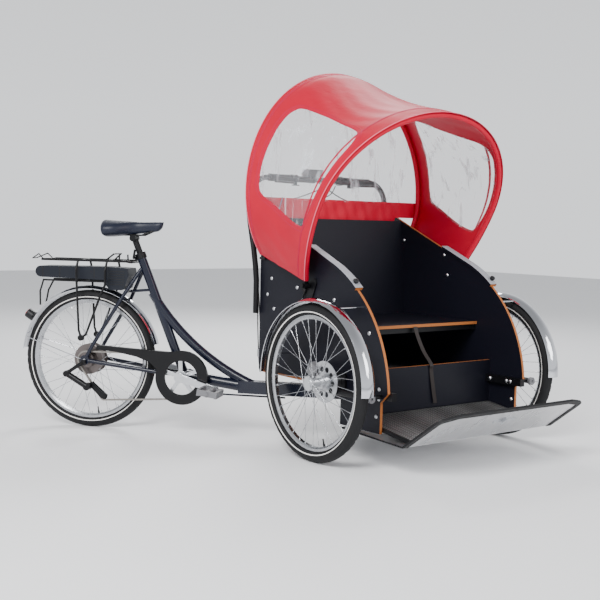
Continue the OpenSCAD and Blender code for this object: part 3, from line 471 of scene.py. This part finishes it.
def sheet_between(outer, holes, nu, nv):
    """Triangles in (u, v) that fill the outer loop but not the holes."""
    us, vs = [p[0] for p in outer], [p[1] for p in outer]
    pts, edges = [], []
    for loop in [outer, *holes]:
        n = len(pts)
        pts += loop
        edges += [(n + i, n + (i + 1) % len(loop)) for i in range(len(loop))]
    for i in range(nu + 1):
        for j in range(nv + 1):
            p = (min(us) + (max(us) - min(us)) * i / nu, min(vs) + (max(vs) - min(vs)) * j / nv)
            if inside(p, outer) and not any(inside(p, h) for h in holes):
                pts.append(p)
    scaled = [Vector((u * ACROSS, v * AROUND)) for u, v in pts]
    out = delaunay_2d_cdt(scaled, edges, [], 0, 1e-6)
    flat = [(p.x / ACROSS, p.y / AROUND) for p in out[0]]
    keep = []
    for f in out[2]:
        c = (sum(flat[i][0] for i in f) / len(f), sum(flat[i][1] for i in f) / len(f))
        if inside(c, outer) and not any(inside(c, h) for h in holes):
            keep.append(tuple(f))
    return flat, keep


def on_cover(flat, off=0.0):
    return [front(*cover(u, v, off)) for u, v in flat]


def thickened(name, verts, faces, thick, mat):
    """A thin closed sheet made from one surface."""
    obj = piece(name, verts, faces, mat, smooth=False)
    mod = obj.modifiers.new("thick", "SOLIDIFY")
    mod.thickness = thick
    mod.offset = 0
    graph = bpy.context.evaluated_depsgraph_get()
    me = bpy.data.meshes.new_from_object(obj.evaluated_get(graph))
    obj.modifiers.clear()
    obj.data = me
    soften(obj, math.radians(60))
    return obj


def band(path, width, off):
    """Narrow strip lying on the cover along a (u, v) path."""
    verts, faces = [], []
    n = len(path)
    for i, (u, v) in enumerate(path):
        du = path[min(i + 1, n - 1)][0] - path[max(i - 1, 0)][0]
        dv = path[min(i + 1, n - 1)][1] - path[max(i - 1, 0)][1]
        t = Vector((du * ACROSS, dv * AROUND)).normalized()
        for s, o in ((-0.5, off - 0.6), (-0.3, off), (0.3, off), (0.5, off - 0.6)):
            verts.append(front(*cover(u + t.y * s * width / ACROSS, v - t.x * s * width / AROUND, o)))
    for i in range(n - 1):
        for k in range(3):
            a = i * 4 + k
            faces.append((a, a + 1, a + 5, a + 4))
    return verts, faces


def closed_path(loop):
    return loop + [loop[0], loop[1]]


def blended(obj):
    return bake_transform(obj)


def across(v0, v1, u, n):
    return [(u, v0 + (v1 - v0) * i / n) for i in range(n + 1)]


def seam_line(u):
    """Along the cover from foot to foot, just short of both."""
    return across(0.004, 0.996, u, 200)


EDGE_N = 150
SIDES = (False, True)  # whether it is the mirrored side
edge = across(0, 1, -HEM, EDGE_N) + [(u / 10, 1) for u in range(1, 10)] + across(1, 0, 1 + HEM, EDGE_N)
edge += [(u / 10, 0) for u in range(9, 0, -1)]
flat, faces = sheet_between(edge, [window_outline(mirrored=m) for m in SIDES], 20, EDGE_N)
cover_parts = [(on_cover(flat), faces)]

# Back wall: a red band under a clear window, hung from the rear hoop
BACK_X = HOOP_X - 12
WALL_LOW, WALL_TOP = 945, 1016
WALL_OUT = 8
TUCKED = 350


def wall_half_width(z):
    b = REAR_LOW if z < REAR_MID else REAR_HIGH
    s = max(-1.0, min(1.0, (z - REAR_MID) / (b + WALL_OUT)))
    return (REAR_HALF + WALL_OUT) * math.sqrt(max(0.0, 1 - s * s))


def wall(z0, z1, nz, ny, ripple, drop=0):
    """Part of the back wall; between the side panels its lower edge reaches drop further down."""
    verts, quads = [], []
    for i in range(nz + 1):
        half = max(wall_half_width(z0 + (z1 - z0) * i / nz), 1.5)
        for j in range(ny + 1):
            y = half * (2 * j / ny - 1)
            fade = math.sin(math.pi * j / ny)
            low = z0 - (drop if abs(y) < TUCKED else 0)
            z = low + (z1 - low) * i / nz
            wave = 0.6 * math.sin(0.11 * y + 0.03 * z) + 0.4 * math.sin(0.047 * y - 0.06 * z)
            x = BACK_X + ripple * fade * wave
            verts.append(front(x, y, z))
    for i in range(nz):
        for j in range(ny):
            a = i * (ny + 1) + j
            quads.append((a, a + 1, a + ny + 2, a + ny + 1))
    return verts, quads


cover_parts.append(wall(WALL_LOW, WALL_TOP, 10, 120, 3.2, drop=22))
hood = thickened("hood_sheet", *merged(cover_parts), 0.0014, FABRIC)
panes = [sheet_between(window_outline(0.008, m), [], 14, 24) for m in SIDES]
pane_parts = [(on_cover(f, -1.6), q) for f, q in panes]
pane_parts.append(wall(WALL_TOP - 8, REAR_MID + REAR_HIGH + 6, 26, 60, 1.5))
vinyl = thickened("hood_panes", *merged(pane_parts), 0.0006, VINYL)

SLEEVE_R = 0.0112
for name, hoop, foot, body in (
    ("hood_front_sleeve", front_hoop, FRONT_FOOT, "hood_front"),
    ("hood_rear_sleeve", rear_hoop, REAR_FOOT, "box_half"),
):
    line = [front(*hoop(-foot + (math.pi + 2 * foot) * i / 160, 0)) for i in range(161)]
    piece(name, *tube_mesh(line, SLEEVE_R, 16), FABRIC, body)
seams = [band(closed_path(window_outline(0.012, m)), 0.022, 1.3) for m in SIDES]
seams += [band(seam_line(u), width, 1.4) for u, width in ((0.115, 0.012), (0.965, 0.016))]
trim = piece("hood_seams", *merged(seams), FABRIC)
stitch = [band(closed_path(window_outline(g, m)), 0.0016, 1.9) for g in (0.005, 0.019) for m in SIDES]
stitch += [band(seam_line(u), 0.0016, 2.0) for u in (0.109, 0.121, 0.958, 0.972)]
threads = piece("hood_stitching", *merged(stitch), THREAD)
edge_lines = []
for u in (-0.012, 1.012):
    edge_lines.append(tube_mesh([front(*cover(*at, 1.5)) for at in across(0.0, 1, u, 200)], 0.0018, 8))
piping = piece("hood_piping", *merged(edge_lines), PIPING)
for obj in (hood, vinyl, trim, threads, piping):
    blended(obj)
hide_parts("hood_cover")
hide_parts("hood_windows")


# Clips and the tie
for y, name in ((300, "hood_clip_far"), (352, "hood_clip_top")):
    v = 0.5 + 0.5 * y / 1000
    c = cover(0.03, v, 3)
    corners = ((c.x - 14, c.y - 9, c.z - 3), (c.x + 14, c.y + 9, c.z + 2))
    rounded_block(name, corners, front, PLASTIC, "hood_front", 0.0012)
strap_line = [front(-560, -300, 1016), front(-470, -392, 900), front(-380, -398, 790), front(-300, -400, 700)]
strap = tube_mesh(curve_points(strap_line, 6), 0.003, 8)
piece("hood_tie", *strap, STRAP_GREY, "box_half")


# ---- Wheels ----

AXIS_FRONT = Vector((0, 1, 0))
AXIS_REAR = Vector((-math.sin(STEER), math.cos(STEER), 0))


def tyre_profile(r, w):
    """(along the axis, radius) of a tyre's section in metres, from bead over crown to bead."""
    c = r - w / 2
    out = []
    for i in range(22):
        a = math.radians(-141 + 282 * i / 21)
        out.append((w / 2 * math.sin(a), c + w / 2 * math.cos(a)))
    out += [(w * 0.24, c - w * 0.3), (-w * 0.24, c - w * 0.3)]
    return [(h / 1000, q / 1000) for h, q in out]


TREAD_STEPS, GROOVE = 200, 0.0016
CROWN = 10.5  # the crown's place among the section's points


def tread(k, j):
    """How far the tread dips at step k, point j: two grooves a side, and cross cuts outside the first."""
    off = abs(j - CROWN)
    if off > 5.2:
        return 0
    groove = off in (1.5, 3.5)
    block = (k + (2 if j > 10 else 0)) % 4 == 0 and off > 1.6
    return -GROOVE if groove or block else 0


def tyre(name, node, centre, axis, r, w, body):
    section = tyre_profile(r - 0.2, w - 0.4)
    obj = piece(name, *lathe_mesh(section, centre, axis, TREAD_STEPS, bumps=tread), TYRE, body)
    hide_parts(node)
    sides = []
    for s in (-1, 1):
        strip = []
        for a in (101, 106, 111, 111, 106, 101):
            grow = 0.0005 if len(strip) < 3 else -0.0008
            h = (w / 2000 + grow) * math.sin(math.radians(a)) * s
            q = (r - w / 2) / 1000 + (w / 2000 + grow) * math.cos(math.radians(a))
            strip.append((h, q))
        sides.append(lathe_mesh(strip, centre, axis, 120))
    piece(name + "_stripe", *merged(sides), STRIPE, body)


def wheel_extras(side, centre, axis, r, w, body, count=36):
    """Spoke nipples and the valve."""
    axis = axis.normalized()
    e = axis.orthogonal().normalized()
    f = axis.cross(e)
    bed = (r - w - 9) / 1000
    parts = []
    for k in range(count):
        a = 2 * math.pi * (k + 0.5) / count
        d = e * math.cos(a) + f * math.sin(a)
        lean = axis * (0.003 if k % 2 else -0.003)
        p = centre + d * bed + lean * 0.3
        parts.append(tube_mesh([p - d * 0.013 + lean, p], [0.0016, 0.0021], 7))
    piece(side + "_nipples", *merged(parts), SILVER, body)
    a = math.radians(118)
    d = e * math.cos(a) + f * math.sin(a)
    p = centre + d * (bed + 0.004)
    line = [p, p - d * 0.016, p - d * 0.017, p - d * 0.034, p - d * 0.036]
    valve = tube_mesh(line, [0.0042, 0.0042, 0.003, 0.0028, 0.0018], 10)
    piece(side + "_valve", *valve, PLASTIC, body)


FRONT_R, FRONT_W = 303.5, 50
REAR_R, REAR_W = 300, 46
for side, s in (("right", -1), ("left", 1)):
    centre = front(-45, s * 511, FRONT_R)
    tyre(side + "_tyre_tread", side + "_tyre", centre, AXIS_FRONT, FRONT_R, FRONT_W, side + "_wheel")
    wheel_extras(side, centre, AXIS_FRONT, FRONT_R, FRONT_W, side + "_wheel")
REAR_CENTRE = rear(-1436, 0, REAR_R)
tyre("rear_tyre_tread", "rear_tyre", REAR_CENTRE, AXIS_REAR, REAR_R, REAR_W, "rear_wheel")
wheel_extras("rear", REAR_CENTRE, AXIS_REAR, REAR_R, REAR_W, "rear_wheel")


# ---- Saddle ----

SADDLE_TAIL, SADDLE_LENGTH, SADDLE_TOP = -1371, 263, 897
TAIL_END, NOSE_FROM, NOSE_END = 0.11, 0.88, 0.12


def fullness(t):
    """How full the saddle's section is at t: 0 at its two tips, 1 between their roundings."""
    if t < TAIL_END:
        return math.sqrt(max(0, 1 - ((TAIL_END - t) / TAIL_END) ** 2))
    if t > NOSE_FROM:
        return math.sqrt(max(0, 1 - ((t - NOSE_FROM) / NOSE_END) ** 2))
    return 1


def saddle_mesh():
    """Crowned closed form: a rounded section swept from the tail to the nose."""
    rings = 40
    around = 36
    verts, faces = [], []
    for i in range(rings + 1):
        t = i / rings
        x = SADDLE_TAIL + SADDLE_LENGTH * t
        wing = 88 / (1 + math.exp((t - 0.40) * 13))
        ends = fullness(t)
        half = max((wing + 19) * ends, 2)
        top = SADDLE_TOP + 9 * (1 - t) ** 2 + 3 * t
        thick = (19 + 19 * (1 - t) ** 1.1) * max(ends, 0.12)
        for k in range(around):
            a = 2 * math.pi * k / around
            ca, sa = math.cos(a), math.sin(a)
            y = half * math.copysign(abs(ca) ** 0.72, ca)
            dip = 3.2 * math.exp(-(y / 12) ** 2) * math.sin(math.pi * min(1, t * 1.15)) if sa > 0 else 0
            z = top - thick + thick * math.copysign(abs(sa) ** 0.85, sa) - dip - 5 * (y / 90) ** 2
            verts.append(rear(x, y, z))
    for i in range(rings):
        for k in range(around):
            a, b = i * around + k, i * around + (k + 1) % around
            faces.append((a, b, b + around, a + around))
    faces.append(tuple(range(around))[::-1])
    faces.append(tuple(range(rings * around, (rings + 1) * around)))
    return verts, faces


seat = piece("saddle_pad", *saddle_mesh(), LEATHER, "saddle_unit")
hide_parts("saddle")


# ---- Grips, display and armrest tops ----

for s, side in ((-1, "right"), (1, "left")):
    profile = [(0.0, 0.0127)]
    for i in range(38):
        h = 0.002 + 0.112 * i / 37
        profile.append((h, 0.0152 + (0.0007 if i % 2 else 0) - 0.001 * math.cos(math.pi * (i / 18.5 - 1))))
    profile.append((0.116, 0.0127))
    base = front(-680, s * 172, 1107)
    grip = piece("grip_" + side, *lathe_mesh(profile, base, (0, s, 0), 32), RUBBER, "box_half")
SCREEN = ((-694, -86, 1150), (-660, -14, 1151.8))
screen = rounded_block("display_screen", SCREEN, front, GLASS, "box_half", 0.0006)

KNOB_ANGLE = math.radians(52.5)
KNOB = [
    (-0.001, 0.0002), (-0.001, 0.007), (0.006, 0.007), (0.008, 0.011), (0.013, 0.0115), (0.017, 0.008),
    (0.0185, 0.0002),
]
PANEL_X, PANEL_Z, ARM_R, KNOB_R = -310, 250, 549.6, 550
ARM_FROM, ARM_TO = 65.8, 49.6
ARM_START = Vector((-250, 740 + (961 - 740) / 510 * 160 + 12.6))
ARM_INNER, ARM_OUTER = 354.5, 393.5


def arm_line():
    """The armrest's top in the box's (x, z): a straight run, then round the side panel's arc."""
    curve = []
    for i in range(61):
        a = math.radians(ARM_FROM - (ARM_FROM - ARM_TO) * i / 60)
        curve.append(Vector((PANEL_X + ARM_R * math.cos(a), PANEL_Z + ARM_R * math.sin(a))))
    return [ARM_START.lerp(curve[0], i / 24) for i in range(24)] + curve


def arm_top(s):
    """(vertices, faces) of the ribbed strip on the armrest of side s."""
    verts, faces = [], []
    y0, y1 = s * ARM_INNER, s * ARM_OUTER
    path = arm_line()
    for i, p in enumerate(path):
        t = (path[min(i + 1, len(path) - 1)] - path[max(i - 1, 0)]).normalized()
        up = Vector((-t.y, t.x)) * (-1 if -t.y > 0 and t.x < 0 else 1)
        rib = 0.5 if i % 2 else 0
        for y, h in ((y0, 0), (y0 + s * 3, 1.6 + rib), (y1 - s * 3, 1.6 + rib), (y1, 0)):
            verts.append(front(p.x + up.x * h, y, p.y + up.y * h))
    for i in range(len(path) - 1):
        for k in range(3):
            a = i * 4 + k
            faces.append((a, a + 1, a + 5, a + 4))
    return verts, faces


for s, side in ((-1, "right"), (1, "left")):
    arm = piece("arm_top_" + side, *arm_top(s), ARM, "box_half", smooth=False)
    lift = Vector((math.cos(KNOB_ANGLE), 0, math.sin(KNOB_ANGLE)))
    foot = front(PANEL_X + KNOB_R * lift.x, s * 380, PANEL_Z + KNOB_R * lift.z)
    knob = piece("arm_knob_" + side, *lathe_mesh(KNOB, foot, lift, 24, closed=False), PLASTIC, "box_half")


# ---- Battery, controller and lamp ----

LAMP_FACE = rear(-1736, 0, 489)
lamp_dir = (LAMP_FACE - rear(-1709, 0, 472)).normalized()
lens = [(0.0, 0.0), (0.0, 0.0185), (0.0022, 0.0178), (0.0042, 0.0145), (0.0052, 0.008), (0.0055, 0.0002)]
lamp = piece("tail_lens", *lathe_mesh(lens, LAMP_FACE, lamp_dir, 32, closed=False), LAMP_RED, "rear_half")
for i, x in enumerate((-1640, -1560, -1480, -1400)):
    corners = ((x - 3, -54.6, 652), (x + 3, 54.6, 699))
    rounded_block(f"battery_rib_{i}", corners, rear, PLASTIC, "battery_pack", 0.0012)
for i in range(6):
    z = 628 + 11 * i
    corners = ((-1338, -49.2, z), (-1264, 49.2, z + 4))
    rounded_block(f"controller_fin_{i}", corners, rear, PLASTIC, "rear_half", 0.001)


# ---- Chain links on the chain's own line ----

CHAIN_Y, PITCH = -50, 12.7
RING_R, SPROCKET_R, IDLER_R = 94.6, 36.6, 16.6
LINK_R, LINK_THICK, LINK_SIDES = 3.4, 0.9, 12


def tangent_angle(c1, r1, c2, r2, side):
    """Where on the first circle the line that touches both circles leaves it."""
    d = c2 - c1
    return math.atan2(d.y, d.x) + side * math.acos((r1 - r2) / d.length)


def chain_line():
    """The chain's closed line in the rear half's (x, z): an arc on each wheel, with straight runs between."""
    bb, axle, pulley = Vector((-1004, 248)), Vector((-1436, 300)), Vector((-1351, 146))
    a0 = tangent_angle(bb, RING_R, axle, SPROCKET_R, -1)
    a1 = tangent_angle(bb, RING_R, pulley, IDLER_R, 1)
    a2 = tangent_angle(axle, SPROCKET_R, pulley, IDLER_R, -1) + 2 * math.pi
    a1 = a1 - 2 * math.pi if a1 > a0 else a1
    line = []
    for c, r, b0, b1, n in (
        (bb, RING_R, a1, a0, 40), (axle, SPROCKET_R, a0, a2, 16), (pulley, IDLER_R, a2, a1 + 2 * math.pi, 8),
    ):
        for i in range(n + 1):
            a = b0 + (b1 - b0) * i / n
            line.append(c + r * Vector((math.cos(a), math.sin(a))))
    return line + [line[0]]


def evenly_spaced(line, pitch):
    """Points along a closed line, about a pitch apart."""
    total = sum((line[i + 1] - line[i]).length for i in range(len(line) - 1))
    count = int(total / pitch)
    step = total / count
    spots, along, i = [], 0.0, 0
    for k in range(count):
        want = k * step
        while along + (line[i + 1] - line[i]).length < want:
            along += (line[i + 1] - line[i]).length
            i += 1
        gap = (line[i + 1] - line[i]).length or 1
        spots.append(line[i].lerp(line[i + 1], (want - along) / gap))
    return spots


def chain_links():
    """A plate on each side of every link, alternately further out and in."""
    spots = evenly_spaced(chain_line(), PITCH)
    n = LINK_SIDES
    parts = []
    for k, p in enumerate(spots):
        q = spots[(k + 1) % len(spots)]
        y = 5.0 if k % 2 else 4.3
        d = (q - p).normalized()
        up = Vector((-d.y, d.x))
        rim = []
        for j in range(n):
            a = 2 * math.pi * j / n
            c = q if math.cos(a) > 0 else p
            rim.append(c + d * LINK_R * math.cos(a) + up * LINK_R * math.sin(a))
        for s in (-1, 1):
            verts = [rear(c.x, CHAIN_Y + s * h, c.y) for h in (y, y - LINK_THICK) for c in rim]
            quads = [(j, (j + 1) % n, n + (j + 1) % n, n + j) for j in range(n)]
            quads += [tuple(range(n))[::-1], tuple(range(n, 2 * n))]
            parts.append((verts, quads))
    return merged(parts)


links = piece("chain_links", *chain_links(), CHAIN, "rear_half", smooth=False)


# ---- Stage, lights and camera ----

scene = bpy.context.scene
FLOOR = material("floor", (0.93, 0.93, 0.94), 0.7, spec=0.2)
FLOOR_HALF = 14
corners = [(x * FLOOR_HALF, y * FLOOR_HALF, 0) for x, y in ((-1, -1), (1, -1), (1, 1), (-1, 1))]
floor = piece("floor", corners, [(0, 1, 2, 3)], FLOOR, smooth=False)
world = bpy.data.worlds.new("studio")
scene.world = world
world.use_nodes = True
way = add(world, "ShaderNodeTexCoord")
height = add(world, "ShaderNodeSeparateXYZ")
glow = add(world, "ShaderNodeMapRange", From_Min=0.1, From_Max=0.9, To_Min=1.25, To_Max=0.5)
background = world.node_tree.nodes["Background"]
link(world, way, "Generated", height, "Vector")
link(world, height, "Z", glow, "Value")
link(world, glow, "Result", background, "Strength")
socket(background, "Color", (0.95, 0.97, 1.0, 1))


def area_light(name, place, aim, size, power):
    data = bpy.data.lights.new(name, "AREA")
    data.shape = "DISK"
    data.size = size
    data.energy = power
    obj = bpy.data.objects.new(name, data)
    scene.collection.objects.link(obj)
    obj.location = place
    obj.rotation_euler = (Vector(aim) - Vector(place)).to_track_quat("-Z", "Y").to_euler()


area_light("key", (2.6, -4.2, 4.2), (0, 0, 0.6), 2.6, 380)
area_light("fill", (4.6, 1.6, 2.4), (0, 0, 0.7), 2.6, 90)
area_light("back", (-3.6, 2.6, 3.8), (0, 0, 0.8), 2.2, 170)

# Where the camera stands, in metres, and how it is turned, in degrees
CAMERA_AT = (3.3611, -2.5713, 0.8962)
HEADING, TILT, ROLL = 142.63, -4.17, 1.28

camera = bpy.data.cameras.new("camera")
camera.lens = 60.75
camera.sensor_width = 36
cam = bpy.data.objects.new("camera", camera)
scene.collection.objects.link(cam)
turns = ((HEADING - 90, "Z"), (90 + TILT, "X"), (ROLL, "Z"))
cam.matrix_world = Matrix.Translation(CAMERA_AT)
for angle, axis in turns:
    cam.matrix_world = cam.matrix_world @ Matrix.Rotation(math.radians(angle), 4, axis)
scene.camera = cam
